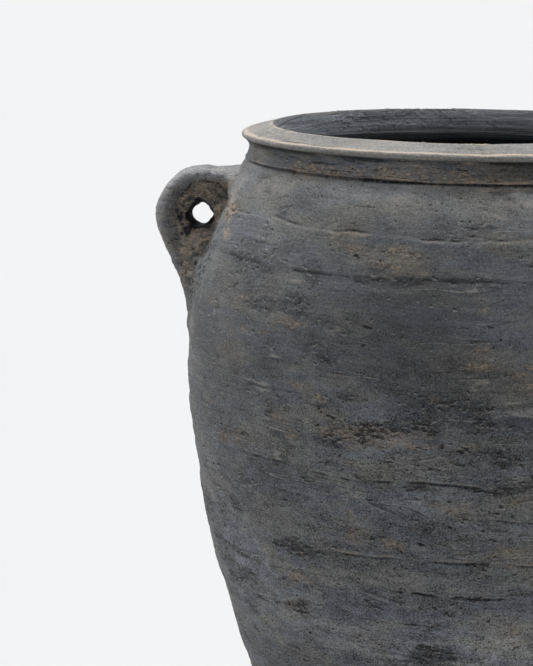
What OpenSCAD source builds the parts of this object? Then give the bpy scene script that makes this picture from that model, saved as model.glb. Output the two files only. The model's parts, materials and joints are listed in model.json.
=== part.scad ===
// Coil-built black clay storage jar with a folded rim and two pierced lugs.
// Millimetres, +Z up. The origin is the centre of the foot, on the floor.

/* [Body] */
// Height from the floor to the crest of the rim
pot_h = 520; // [500:5:560]
// Radius of the foot
foot_r = 101; // [92:1:110]
// Greatest radius of the body
belly_r = 199; // [194:0.5:202]
// Height of the greatest radius
belly_z = 365; // [355:1:372]
// Radius at the top of the shoulder, where the collar stands
neck_r = 157.5; // [156:0.5:159]
// How fast the radius grows just above the foot
foot_slope = 0.42; // [0.36:0.01:0.48]
// How fast the radius shrinks just below the collar
shoulder_slope = 0.85; // [0.75:0.01:0.9]
// Thickness of the wall
wall_t = 14; // [11:0.5:16]
// Thickness of the floor of the jar
floor_t = 17; // [13:1:22]
// Drop of each coil joint from the outside to the inside
scarf = 8; // [4:1:10]

/* [Rim] */
// Height of the collar and the lip together
rim_h = 24; // [22:1:28]
// Height of the lip
lip_h = 13; // [12:0.5:14]
// Radius of the lip's widest edge
lip_r = 162; // [161:0.5:165]
// Radius of the mouth at the crest
mouth_r = 137; // [134:0.5:139]
// Depth of the groove between the shoulder and the collar
groove_d = 2; // [1:0.25:3]

/* [Lugs] */
// Radius of the rounded ear
ear_r = 35.2; // [34:0.1:37]
// Distance from the jar's axis to the centre of the ear
ear_x = 187.5; // [187:0.5:189]
// Height of the ear's centre below the crest
ear_drop = 66; // [64:1:68]
// Radius of the finger hole
eye_r = 8; // [7:0.25:8.5]
// Distance from the jar's axis to the hole
eye_x = 192.5; // [192.5:0.25:194]
// Length of the straight throat of the hole
throat = 12; // [10:1:16]

/* [Hidden] */
$fn = 96;

// Tones of the smoked clay
charcoal = [0.30, 0.30, 0.31];
smoke = [0.34, 0.34, 0.35];
ash = [0.40, 0.39, 0.38];

// Heights of the courses from the foot up to the collar
course_h = [40, 55, 55, 58, 58, 52, 59, 43, 47, 29];
wall_top = pot_h - rim_h;
function total(list, n) = n <= 0 ? 0 : list[n - 1] + total(list, n - 1);
stretch = wall_top / total(course_h, len(course_h));
function seam_z(i) = total(course_h, i) * stretch;

// The outside and the inside of the wall as smooth curves of the height
function blend_curve(t, a, slope_a, b, slope_b) =
    a * (2 * t^3 - 3 * t^2 + 1) + slope_a * (t^3 - 2 * t^2 + t)
    + b * (3 * t^2 - 2 * t^3) + slope_b * (t^3 - t^2);
function lower_r(z) = blend_curve(z / belly_z, foot_r, foot_slope * belly_z, belly_r, 0);
function upper_r(z) = blend_curve((z - belly_z) / (wall_top - belly_z), belly_r, 0,
                                  neck_r, -shoulder_slope * (wall_top - belly_z));
function wall_r(z) = z < belly_z ? lower_r(z) : upper_r(z);
function inside_r(z) = wall_r(z) - wall_t;

// Heights from a to b, both included, in n equal steps
function steps(a, b, n) = [for (i = [0 : n]) a + (b - a) * i / n];
// Points on an arc about a centre, from angle a to angle b
function arc(centre, r, a, b, n) = [for (t = steps(a, b, n)) centre + r * [cos(t), sin(t)]];

// Height of each flank of the groove, radius of the rounded edges, and steps along a course
groove_h = 2;
edge_r = 3;
curve_steps = 6;

// One ring of the wall between two heights, with a bevelled joint at each end
module wall_ring(z0, z1, top_points = []) {
    outside = [for (z = steps(z0, z1, curve_steps)) [wall_r(z), z]];
    inside = [for (z = steps(z1 - scarf, z0 - scarf, curve_steps)) [inside_r(z), z]];
    rotate_extrude() polygon(concat(outside, top_points, inside));
}

// The opened slab: the floor, and the foot of the wall turned up from it
module base() {
    z1 = seam_z(1);
    fillet_r = 12;
    corner = [inside_r(floor_t + fillet_r) - fillet_r, floor_t + fillet_r];
    color(charcoal) rotate_extrude() polygon(concat(
        [[0, 0]],
        arc([foot_r - edge_r, edge_r], edge_r, -90, -10, 4),
        [for (z = steps(edge_r * 2, z1, 4)) [wall_r(z), z]],
        [[inside_r(z1 - scarf), z1 - scarf]],
        arc(corner, fillet_r, 0, -90, 5),
        [[0, floor_t]]));
}

// A course of the wall, numbered from 1 at the bottom
module wall_coil(i, tone) {
    color(tone) wall_ring(seam_z(i), seam_z(i + 1));
}

// The last course, which carries the lower lip of the groove
module shoulder_coil() {
    color(smoke) wall_ring(seam_z(9), wall_top - groove_h, [[neck_r - groove_d, wall_top]]);
}

// The short upright collar, with an inside that closes in to the mouth
collar_h = rim_h - lip_h;
collar_r = neck_r + 0.5;
throat_in_r = inside_r(wall_top - groove_h - scarf);
module collar() {
    foot_z = wall_top - groove_h - scarf;
    top_z = wall_top + collar_h;
    color(smoke) rotate_extrude() polygon(concat(
        [[neck_r - groove_d, wall_top], [collar_r, wall_top + groove_h]],
        [[collar_r - 0.7, wall_top + groove_h + 4], [collar_r, top_z]],
        [for (t = steps(0, 1, 5)) [blend_curve(t, mouth_r + 0.5, 0, throat_in_r, 8),
                                   top_z - scarf / 2 + (foot_z - top_z + scarf / 2) * t]]));
}

// The folded lip: a flat top that falls outwards, a rounded edge and a small overhang
module rim_lip() {
    foot_z = wall_top + collar_h;
    crest = [mouth_r + edge_r, pot_h - edge_r];
    lip_edge_r = 2.4;
    edge = [lip_r - lip_edge_r, pot_h - 7.4];
    color(ash) rotate_extrude() polygon(concat(
        [[collar_r, foot_z]],
        [[collar_r + 0.8, foot_z + 1.8]],
        arc(edge, lip_edge_r, -50, 75, 8),
        arc(crest, edge_r, 75, 180, 7),
        [[mouth_r + 0.5, foot_z - scarf / 2]]));
}

// Everything inside the outer surface of the wall, which the lugs are cut back to
module wall_core() {
    rotate_extrude() polygon(concat(
        [[0, seam_z(6)]],
        [for (i = [6 : 8]) each [for (z = steps(seam_z(i), seam_z(i + 1), curve_steps)) [wall_r(z), z]]],
        [for (z = steps(seam_z(9), wall_top - groove_h, curve_steps)) [wall_r(z), z]],
        [[neck_r - groove_d, wall_top], [0, wall_top]]));
}

// The ear seen from the side: a round head, a straight tail and a saddle at the neck
ear_z = pot_h - ear_drop;
eye_z = ear_z + 1.5;
tail = [203, ear_z - 54];
tail_way = tail - [ear_x, ear_z];
tangent_angle = atan2(tail_way[1], tail_way[0]) + acos(ear_r / norm(tail_way));
root_x = 150;
module ear_side() {
    polygon(concat(
        [[root_x, ear_z + 37], [171, ear_z + 34.2]],
        arc([ear_x, ear_z], ear_r, 100, tangent_angle, 20),
        [tail, [198, ear_z - 66], [root_x, ear_z - 66]]));
}

// The ear seen from above: a round tip that spreads towards the wall
tip_r = 15;
root_half = 27;
module ear_plan() {
    tip_x = ear_x + ear_r - tip_r;
    side = [for (t = steps(0, 1, 6)) [tip_x - 12 - (tip_x - 12 - root_x) * t,
                                      blend_curve(t, tip_r + 2, 0, root_half, 0)]];
    polygon(concat(
        [for (i = [len(side) - 1 : -1 : 0]) [side[i][0], -side[i][1]]],
        arc([tip_x, 0], tip_r, -75, 75, 10),
        side));
}

// The ear seen from outside, along the radius: a tongue that widens upwards
tongue_r = 9;
module ear_front() {
    tongue_z = ear_z - 57;
    polygon(concat(
        arc([0, tongue_z], tongue_r, 195, 345, 8),
        [[root_half - 7, ear_z - 12], [root_half + 1, ear_z + 12], [root_half + 1, ear_z + 40]],
        [[-root_half - 1, ear_z + 40], [-root_half - 1, ear_z + 12], [7 - root_half, ear_z - 12]]));
}

// The thumb-opened hole: a straight throat with a bell at each side
module eye_opening() {
    half = throat / 2;
    bell_r = 16;
    reach = 45;
    rotate([90, 0, 0]) rotate_extrude() polygon(concat(
        [[0, -reach], [eye_r + bell_r * 2, -reach]],
        arc([eye_r + bell_r, -half], bell_r, 270, 180, 6),
        arc([eye_r + bell_r, half], bell_r, 180, 90, 6),
        [[eye_r + bell_r * 2, reach], [0, reach]]));
}

// A lug on the +X side
module lug() {
    difference() {
        intersection() {
            translate([0, 50, 0]) rotate([90, 0, 0]) linear_extrude(100) ear_side();
            translate([0, 0, ear_z - 70]) linear_extrude(110) ear_plan();
            rotate([90, 0, 90]) linear_extrude(ear_x + 2 * ear_r) ear_front();
        }
        translate([eye_x, 0, eye_z]) eye_opening();
        wall_core();
    }
}

module lug_left() { color(charcoal) mirror([1, 0, 0]) lug(); }
module lug_right() { color(charcoal) lug(); }

base();
wall_coil(1, smoke);  // wall_coil_1
wall_coil(2, charcoal);  // wall_coil_2
wall_coil(3, smoke);  // wall_coil_3
wall_coil(4, charcoal);  // wall_coil_4
wall_coil(5, smoke);  // wall_coil_5
wall_coil(6, charcoal);  // wall_coil_6
wall_coil(7, smoke);  // wall_coil_7
wall_coil(8, charcoal);  // wall_coil_8
shoulder_coil();
collar();
rim_lip();
lug_left();
lug_right();
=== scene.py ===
"""The looks of the coil-built black clay jar: modelled clay, its material, floor, light and camera."""
import json
import math

import bpy
import numpy as np
from mathutils import Matrix, Vector

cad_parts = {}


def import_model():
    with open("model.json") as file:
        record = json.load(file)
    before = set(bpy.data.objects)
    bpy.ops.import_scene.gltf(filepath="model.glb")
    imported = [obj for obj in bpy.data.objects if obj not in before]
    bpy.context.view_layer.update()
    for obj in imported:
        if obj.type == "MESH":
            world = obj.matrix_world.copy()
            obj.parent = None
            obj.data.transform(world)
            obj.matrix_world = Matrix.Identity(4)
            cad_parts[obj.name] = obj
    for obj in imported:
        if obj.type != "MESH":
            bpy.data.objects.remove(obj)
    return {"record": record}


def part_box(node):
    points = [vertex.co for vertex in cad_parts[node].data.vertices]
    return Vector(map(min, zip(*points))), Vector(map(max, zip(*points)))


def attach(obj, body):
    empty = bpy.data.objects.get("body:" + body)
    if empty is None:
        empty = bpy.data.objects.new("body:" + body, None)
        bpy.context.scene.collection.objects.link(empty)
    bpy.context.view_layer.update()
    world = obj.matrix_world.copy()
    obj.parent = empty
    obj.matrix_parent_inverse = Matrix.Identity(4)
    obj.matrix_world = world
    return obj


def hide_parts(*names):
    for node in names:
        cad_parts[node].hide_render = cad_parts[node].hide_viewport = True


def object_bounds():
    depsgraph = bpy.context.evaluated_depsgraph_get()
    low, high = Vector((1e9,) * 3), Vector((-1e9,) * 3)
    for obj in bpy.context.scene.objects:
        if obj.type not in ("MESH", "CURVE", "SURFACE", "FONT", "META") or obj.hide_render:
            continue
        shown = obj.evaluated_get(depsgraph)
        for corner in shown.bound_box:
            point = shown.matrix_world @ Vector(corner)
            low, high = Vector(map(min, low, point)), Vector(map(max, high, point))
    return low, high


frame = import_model()
cad_lo, cad_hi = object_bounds()

scene = bpy.context.scene
MM = 0.001
RNG = np.random.default_rng(20)
uniform = RNG.uniform

# ---- sizes, all in millimetres
POT_H = (cad_hi.z - cad_lo.z) / MM
BELLY_R = (cad_hi.y - cad_lo.y) / MM / 2
FOOT_R = 101.0
BELLY_Z = 365.0
NECK_R = 157.5
FOOT_SLOPE = 0.42
SHOULDER_SLOPE = 0.85
WALL_T = 14.0
FLOOR_T = 17.0
SCARF = 8.0
GROOVE_H = 2.0
GROOVE_D = 2.0
MOUTH_R = 137.0
COURSES = ["base"] + [f"wall_coil_{i}" for i in range(1, 9)] + ["shoulder_coil"]


def top_of(node):
    """Height of a node's highest point."""
    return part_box(node)[1].z / MM


SEAM_Z = [0.0] + [top_of(n) for n in COURSES]
WALL_TOP = SEAM_Z[-1]
COLLAR_TOP = top_of("collar")
COLLAR_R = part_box("collar")[1].x / MM
LIP_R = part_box("rim_lip")[1].x / MM

# ---- the jar's outline


def blend_curve(t, a, slope_a, b, slope_b):
    """A cubic from a to b with a slope at each end."""
    return (
        a * (2 * t**3 - 3 * t**2 + 1)
        + slope_a * (t**3 - 2 * t**2 + t)
        + b * (3 * t**2 - 2 * t**3)
        + slope_b * (t**3 - t**2)
    )


def wall_r(z):
    """Outer radius of the wall at a height, below the collar."""
    low = blend_curve(z / BELLY_Z, FOOT_R, FOOT_SLOPE * BELLY_Z, BELLY_R, 0)
    rise = WALL_TOP - BELLY_Z
    high = blend_curve((z - BELLY_Z) / rise, BELLY_R, 0, NECK_R, -SHOULDER_SLOPE * rise)
    return np.where(z < BELLY_Z, low, high)


def arc(centre, r, a, b, n):
    """Points on an arc, angles in degrees."""
    t = np.radians(np.linspace(a, b, n))
    return [(centre[0] + r * math.cos(x), centre[1] + r * math.sin(x)) for x in t]


def outline():
    """The outer skin as (s, r, z): s is the height up to the lip, then the length along it."""
    wall = [(float(wall_r(z)), z) for z in np.arange(0.0, WALL_TOP - GROOVE_H, 1.0)]
    groove = [
        (NECK_R + 0.9, WALL_TOP - 1.2),
        (NECK_R + 0.6, WALL_TOP - 0.6),
        (NECK_R - 0.7 * GROOVE_D, WALL_TOP),
        (COLLAR_R + 0.1, WALL_TOP + 0.5),
        (COLLAR_R + 0.5, WALL_TOP + 1.3),
    ]
    collar = [
        (COLLAR_R, WALL_TOP + 3.4),
        (COLLAR_R - 0.9, WALL_TOP + 6.5),
        (COLLAR_R - 1.0, COLLAR_TOP - 1.5),
        (COLLAR_R - 0.5, COLLAR_TOP),
    ]
    lip = [(COLLAR_R + 0.4, COLLAR_TOP + 1.6), (COLLAR_R + 1.6, COLLAR_TOP + 2.8)]
    lip += arc((LIP_R - 2.4, POT_H - 7.4), 2.4, -50, 78, 12)
    lip += arc((MOUTH_R + 3.5, POT_H - 3.5), 3.5, 78, 180, 12)
    lip += [(MOUTH_R + 0.4, COLLAR_TOP - SCARF / 2)]
    pts = np.array(wall + groove + collar + lip)
    s = pts[:, 1].copy()
    first = len(wall) + len(groove) + len(collar)
    step = np.hypot(*np.diff(pts[first - 1 :], axis=0).T)
    s[first:] = s[first - 1] + np.cumsum(step)
    return s, pts[:, 0], pts[:, 1]


SKIN_S, SKIN_R, SKIN_Z = outline()
S_END = SKIN_S[-1]


def skin(s):
    """Radius, height and outward normal of the outer skin at s."""
    r = np.interp(s, SKIN_S, SKIN_R)
    z = np.interp(s, SKIN_S, SKIN_Z)
    d = 0.7
    dr = np.interp(s + d, SKIN_S, SKIN_R) - np.interp(s - d, SKIN_S, SKIN_R)
    dz = np.interp(s + d, SKIN_S, SKIN_Z) - np.interp(s - d, SKIN_S, SKIN_Z)
    length = np.hypot(dr, dz) + 1e-9
    return r, z, dz / length, -dr / length


def inside_r(z):
    """Inner radius of the jar at a height."""
    low = wall_r(np.minimum(z, WALL_TOP - 10)) - WALL_T
    t = np.clip((z - (WALL_TOP - 10)) / (COLLAR_TOP - 4 - (WALL_TOP - 10)), 0, 1)
    start = float(wall_r(np.array(WALL_TOP - 10))) - WALL_T
    neck = blend_curve(t, start, -8, MOUTH_R + 0.4, 0)
    return np.where(z < WALL_TOP - 10, low, neck)


# ---- relief on a canvas of azimuth and s
COLS = 1200
ROW = 0.5
ROWS = int(S_END / ROW) + 4
AZ = np.linspace(-180, 180, COLS, endpoint=False)
CANVAS_S = np.arange(ROWS)[:, None] * ROW
COL_MM = 2 * math.pi * BELLY_R / COLS


def blur_filter(rows, row, wide, high):
    """What a blur leaves of each frequency; wide and high are the size of its lumps in mm."""
    fy = np.fft.fftfreq(rows, row)[:, None]
    fx = np.fft.rfftfreq(COLS, COL_MM)
    return np.exp(-0.5 * ((fx * wide * 2.2) ** 2 + (fy * high * 2.2) ** 2))


def field(seed, wide, high, rows=ROWS, row=ROW):
    """Smooth random relief with unit spread; wide and high are the size of its lumps in mm."""
    rng = np.random.default_rng(seed)
    white = np.fft.rfft2(rng.standard_normal((rows, COLS)))
    white *= blur_filter(rows, row, wide, high)
    out = np.fft.irfft2(white, s=(rows, COLS))
    return out / out.std()


def layered(seed, wide, high, octaves, fall=0.6):
    """Layers of field, each half the size of the last."""
    total = 0
    for k in range(octaves):
        total = total + field(seed + k, wide / 2**k, high / 2**k) * fall**k
    return total / np.std(total)


def ramp(x, lo, hi):
    """A smooth step from 0 at lo to 1 at hi."""
    t = np.clip((x - lo) / (hi - lo), 0, 1)
    return t * t * (3 - 2 * t)


def line_noise(seed, wide):
    """Smooth random numbers round the jar, unit spread."""
    rng = np.random.default_rng(seed)
    white = np.fft.rfft(rng.standard_normal(COLS))
    white *= np.exp(-0.5 * (np.fft.rfftfreq(COLS, COL_MM) * wide * 2.2) ** 2)
    out = np.fft.irfft(white, n=COLS)
    return out / out.std()


def lumpy_line(v, width):
    """A rounded line of unit height along v = 0."""
    return np.exp(-((v / width) ** 2))


# The canvases: relief in mm, outwards; the others are the strength of a mark. All are changed in place.
relief = -0.9 + 0.62 * field(1, 130, 60) + 0.24 * field(2, 45, 20)
relief += 0.13 * field(3, 70, 5) + 0.07 * field(4, 40, 1.8)
relief += 0.12 * np.tanh(1.5 * field(5, 30, 12))
relief += 0.035 * field(6, 1.6, 1.1)
stain_and_shade_push = 0.55 * field(12, 110, 45)
tone = np.zeros((ROWS, COLS))
dust_push = 0.55 * field(32, 90, 40)
# dark_line holds dark marks and lines of painted shade; pale_line holds scuffed pale marks and lines of
# painted highlight
dark_line = np.zeros((ROWS, COLS))
pale_line = np.zeros((ROWS, COLS))

# Each seam: height, step in mm (positive where the clay above stands proud), strength of its dark
# line of painted shadow and of its pale line of painted highlight, slope in mm a degree
SEAMS = [
    (40.0, 0.5, 0.3, 0.2, 0.0), (95.0, -0.6, 0.5, 0.3, 0.01), (150.0, 0.7, 0.4, 0.3, -0.01),
    (208.0, 0.5, 0.4, 0.3, 0.0), (221.0, 0.5, 0.4, 0.6, 0.0), (243.5, 1.1, 1.4, 0.8, 0.0),
    (266.0, 1.2, 1.1, 1.5, -0.03), (318.0, 1.2, 1.3, 1.3, -0.07), (326.0, 0.3, 0.2, 0.4, 0.02),
    (377.0, 0.5, 0.8, 0.3, 0.0), (420.0, 0.2, 0.3, 0.0, 0.0), (442.5, 0.5, 1.2, 0.3, -0.02),
    (467.0, -1.4, 1.2, 1.5, -0.05),
]


def seam_wave(z, slope):
    """The height of a seam round the jar: it wanders a little, and tilts where it faces the front."""
    seed = int(z) + 400
    front = np.clip(AZ + 40, -45, 55)
    return z + 1.0 * line_noise(seed, 70) + 0.35 * line_noise(seed + 1, 12) + slope * front


def add_seam(z, step, dark, pale, slope):
    """A seam: a small ledge and fine crease, with painted shadow on its low side and a painted highlight
    on its proud edge.
    """
    v = CANVAS_S - seam_wave(z, slope)
    seed = int(z) + 700
    shown = ramp(line_noise(seed, 55) + 0.5, -0.3, 0.9)
    broken = shown * (0.25 + 0.75 * ramp(line_noise(seed + 1, 9), -0.9, 0.9))
    relief[:] += 0.5 * step * (0.35 + 0.65 * shown) * np.tanh(v / 0.8) * np.exp(-np.abs(v) / 13)
    relief[:] -= 0.5 * dark * broken * lumpy_line(v, 0.9)
    side = -0.8 if step > 0 else 0.5
    # painted shadow: a dark line on the low side of the ledge
    dark_line[:] += 0.75 * dark * broken * lumpy_line(v - side, 0.75 + 0.2 * abs(step))
    # painted highlight: a pale line on the proud edge of the ledge
    pale_line[:] += 0.42 * pale * broken * lumpy_line(v + 1.1 * np.sign(side), 0.75 + 0.55 * abs(step))
    # painted shade: a broad dark smudge on the low side of the ledge
    spread = line_noise(seed + 2, 26)
    stain_and_shade_push[:] += 0.7 * dark * ramp(spread, -0.2, 1.2) * lumpy_line(v - 3.5 * side, 4.5)


for seam in SEAMS:
    add_seam(*seam)

# Marks of the front: azimuth in degrees (0 faces -Y, -90 is the left lug), height, half width and half
# height in mm, strength. A negative stain keeps a place clean.
STAINS = [
    (-10, 425, 45, 24, 0.3), (-4, 376, 50, 16, 0.3), (3, 356, 9, 9, 1.5), (6, 337, 9, 8, 2.0),
    (-26, 388, 8, 4, 1.3), (-25, 348, 14, 8, -1.1), (-14, 333, 18, 9, -1.4), (-26, 348, 6, 4, 0.3),
    (-36, 353, 10, 7, 0.7), (-8, 441, 18, 3, 1.3), (-20, 440, 30, 2, 0.8), (-11, 420, 11, 2, 1.3),
    (5, 408, 3, 6, 0.9), (-12, 395, 45, 30, 0.5), (-7, 200, 16, 9, 1.8), (-22, 233, 14, 6, 1.4),
    (-2, 243, 26, 2, 1.2), (2, 242, 8, 3, 1.1), (-32, 298, 14, 3, 1.6), (-42, 299, 22, 2, 0.9),
    (-20, 286, 12, 4, 0.8), (-67, 262, 6, 12, 1.2), (-61, 270, 4, 12, 1.0), (-64, 285, 8, 4, 1.0),
    (-62, 256, 12, 3, 1.0), (-40, 356, 9, 7, 1.2), (-56, 340, 8, 5, 1.0), (-56, 200, 12, 10, 1.4),
    (-52, 362, 10, 6, 0.8), (-54, 382, 7, 3, 1.0), (-34, 405, 3, 16, 0.8), (-54, 440, 6, 3, 1.1),
    (-34, 236, 10, 4, 0.9), (-35, 205, 6, 16, 0.8), (-22, 474, 8, 2, 0.9), (-9, 280, 9, 3, 0.9),
    (7, 385, 6, 3, 0.9),
]
DUSTS = [
    (-17, 346, 11, 5, 2.6), (-6, 341, 26, 3, 1.7), (-29, 378, 16, 10, 0.9), (2, 412, 6, 22, 1.0),
    (8, 418, 10, 14, 0.6), (-1, 301, 24, 4, 1.1), (6, 340, 12, 8, 0.8), (-50, 393, 22, 4, 0.9),
    (-28, 464, 45, 3, 0.9), (-62, 468, 12, 8, 1.0), (-38, 351, 10, 8, 0.7), (-60, 318, 30, 2, 0.8),
    (-3, 221, 25, 2, 0.8), (-30, 499, 110, 4, 1.5), (-46, 501, 12, 4, 1.2), (-14, 501, 34, 5, 2.4),
    (-2, 499, 40, 3, 1.4), (-60, 501, 20, 5, 1.4), (-74, 514, 40, 22, 1.2),
]
# Broad lighter and darker zones; those just under the groove, at heights 489 to 492, are painted light
# that lifts the shade under the collar; the last number is the change in lightness
TONES = [
    (-38, 489, 95, 8, 0.32), (-2, 489, 60, 8, 0.40), (-42, 455, 45, 15, 0.28),
    (6, 462, 32, 18, 0.20), (-38, 420, 26, 14, 0.20), (8, 412, 14, 14, 0.20),
    (-11, 438, 40, 13, -0.25), (-10, 405, 44, 18, -0.28), (-60, 385, 40, 18, -0.20),
    (-82, 425, 22, 24, -0.50), (-38, 492, 40, 8, 0.22), (10, 490, 20, 9, 0.25),
    (-70, 470, 14, 10, 0.25), (-74, 400, 26, 14, -0.15), (-10, 384, 46, 10, -0.16),
    (-24, 347, 26, 8, 0.18), (-40, 312, 22, 8, -0.15), (-14, 300, 34, 12, 0.14),
    (-46, 274, 26, 9, -0.14), (-42, 292, 28, 13, -0.15), (-60, 244, 62, 28, 0.28),
    (-50, 236, 40, 14, 0.22), (-16, 202, 170, 14, 0.38), (-2, 212, 60, 28, 0.22),
    (-6, 235, 130, 60, 0.16), (-16, 344, 26, 12, 0.36), (-6, 308, 14, 8, 0.25),
    (6, 165, 60, 20, 0.15), (10, 328, 10, 8, 0.35), (-8, 309, 24, 7, 0.14),
    (-58, 240, 14, 14, 0.55), (-6, 202, 12, 8, 0.25), (10, 204, 20, 12, 0.42),
    (-71, 465, 12, 18, 0.62), (12, 490, 14, 8, 0.50), (-17, 503, 42, 6, 0.45),
    (28, 505, 50, 10, -0.90), (-60, 503, 40, 5, -0.15), (-29, 490, 30, 7, 0.40),
    (-46, 446, 16, 12, 0.16), (4, 412, 12, 12, 0.18), (-66, 382, 26, 22, -0.16),
    (-6, 454, 20, 6, 0.15), (-64, 365, 34, 26, -0.16), (-27, 474, 40, 12, -0.10),
    (-27, 504, 40, 6, 0.22), (7, 208, 40, 16, 0.18), (-6, 436, 35, 18, -0.10),
]
# Slow swellings and dents left by the potter's hands; the last number is in mm
BULGES = [
    (-82, 396, 70, 13, -2.4), (-82, 372, 60, 10, -0.8), (-82, 335, 60, 8, -1.0),
    (-82, 283, 70, 17, -1.9), (-82, 212, 60, 14, 0.9),
]
# Single cracks of the front: azimuth, height, length and depth in mm
CRACKS = [
    (-19.8, 411.5, 6, 1.0), (-59, 301.5, 3, 1.1), (-8, 286.5, 2, 0.9), (-2, 284, 3, 0.8),
    (-28.5, 358, 4, 0.9), (-26.5, 354, 5, 1.0), (-29, 347, 4, 0.8), (-23.5, 364, 8, 0.7),
]
HIDDEN_MARKS = 120
LOW_MARKS = 90
LOOSE_ZONES = 40
LOOSE_PITS = 700
LOOSE_CRACKS = 420
PIT_SHARE = 9
SCRATCHES = 1100
COLLAR_SCRATCHES = 160

# The lip was smoothed with a wet cloth
relief *= 1 - 0.7 * ramp(CANVAS_S, COLLAR_TOP - 2, COLLAR_TOP + 2)


def add_patch(canvas, az, s, half_w, half_h, power):
    """Adds a soft-edged oval to a canvas."""
    r = np.interp(s, SKIN_S, SKIN_R)
    du = (AZ - az + 180) % 360 - 180
    u = du * math.radians(1) * r / half_w
    v = (CANVAS_S - s) / half_h
    canvas += power * np.exp(-0.7 * (u * u + v * v))


def scatter_pits(az, s, half_w, half_h, count):
    """Azimuth, s and radius of small pits round a mark."""
    r = np.interp(s, SKIN_S, SKIN_R)
    spread = RNG.normal(0, 0.6, (count, 2))
    return [
        (az + math.degrees(du * half_w / r), s + dv * half_h, uniform(0.35, 0.8))
        for du, dv in spread
    ]


def loose_marks(count, turn, rise, width, flatness, strength, dusty=False):
    """Sooty marks at random places, within ranges; if dusty, every third is pale dust instead."""
    for k in range(count):
        az = uniform(*turn)
        s = uniform(*rise)
        w = uniform(*width)
        h = w * uniform(*flatness)
        power = uniform(*strength)
        if dusty and k % 3 == 2:
            add_patch(dust_push, az, s, w, h, power)
            continue
        add_patch(stain_and_shade_push, az, s, w, h, power)
        pits.extend(scatter_pits(az, s, w, h, int(PIT_SHARE * power)))


def crack(az, s, length, deep):
    """Pits strung along a short jagged walk that runs mostly sideways."""
    r = np.interp(s, SKIN_S, SKIN_R)
    out = []
    u = v = 0.0
    while abs(u) < length:
        u += uniform(0.5, 1.1)
        v += RNG.normal(0, 0.45)
        out.append((az + math.degrees(u / r), s + v, deep * uniform(0.6, 1.0)))
    return out


pits = []
for single in CRACKS:
    pits += crack(*single)
for canvas, table in ((stain_and_shade_push, STAINS), (dust_push, DUSTS), (relief, BULGES), (tone, TONES)):
    for mark in table:
        add_patch(canvas, *mark)
for az, s, w, h, power in STAINS:
    if power > 0.85:
        pits += scatter_pits(az, s, w, h, int(PIT_SHARE * power))
for _ in range(LOOSE_ZONES):
    size = uniform(20, 60)
    power = uniform(-0.3, 0.3)
    add_patch(tone, uniform(30, 265), uniform(0, 490), size, 0.45 * size, power)
loose_marks(HIDDEN_MARKS, (22, 275), (8, 480), (5, 26), (0.15, 0.7), (0.5, 1.3), dusty=True)
loose_marks(LOW_MARKS, (-90, 22), (8, 350), (3, 12), (0.2, 0.8), (0.5, 1.2))
pits += [
    (uniform(-180, 180), uniform(2, 530), uniform(0.3, 0.6)) for _ in range(LOOSE_PITS)
]
for _ in range(LOOSE_CRACKS):
    low = uniform(4, 490) * uniform(0.6, 1.0)
    pits += crack(uniform(-180, 180), low, uniform(1, 5), uniform(0.4, 0.95))


def near(az, s, reach_w, reach_h):
    """Columns and rows of the canvas round a point, with their distances from it in mm."""
    r = float(np.interp(s, SKIN_S, SKIN_R))
    per_col = 2 * math.pi * r / COLS
    c0 = (az + 180) / 360 * COLS
    cols = np.arange(math.floor(c0 - reach_w / per_col), math.ceil(c0 + reach_w / per_col) + 1)
    rows = np.arange(max(0, int((s - reach_h) / ROW)), min(ROWS, int((s + reach_h) / ROW) + 2))
    u = (cols - c0) * per_col
    v = rows * ROW - s
    return np.ix_(rows, cols % COLS), u, v[:, None]


for az, s, r in pits:
    at, u, v = near(az, s, 4 * r, 3 * r)
    hole = np.exp(-((u / (1.25 * r)) ** 2 + (v / (0.85 * r)) ** 2) ** 1.5)
    relief[at] -= 0.5 * r * hole
    dark_line[at] += 0.9 * hole

for k in range(SCRATCHES + COLLAR_SCRATCHES):
    az = uniform(-180, 180)
    s = uniform(4, 535)
    half = uniform(2, 22)
    lean = RNG.normal(0, 0.05)
    wide = uniform(0.35, 0.7)
    if k >= SCRATCHES:
        s = uniform(WALL_TOP + 2, COLLAR_TOP)
        half *= 0.6
        wide = 0.3
    deep = uniform(0.06, 0.3) * (1 if k < SCRATCHES else 1.3)
    at, u, v = near(az, s, half, abs(lean) * half + 3)
    bow = lean * u + 0.4 * np.sin(u / 9 + s)
    tapered = np.clip(1.2 - (u / half) ** 2 * 1.2, 0, 1)
    line = lumpy_line(v - bow, wide) * tapered
    relief[at] -= deep * line
    dark_line[at] += 2.4 * deep * line
    # painted highlight: a pale line just below each scratch, where light from above would catch its lower
    # lip
    pale_line[at] += 1.6 * deep * lumpy_line(v - bow + 1.1, wide) * tapered

# The middle of the lug's hole, and heights on the canvas measured from it
HOLE_BELOW_TOP = 35.5
EYE_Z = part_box("lug_left")[1].z / MM - HOLE_BELOW_TOP
LUG_Z = CANVAS_S - EYE_Z


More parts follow.
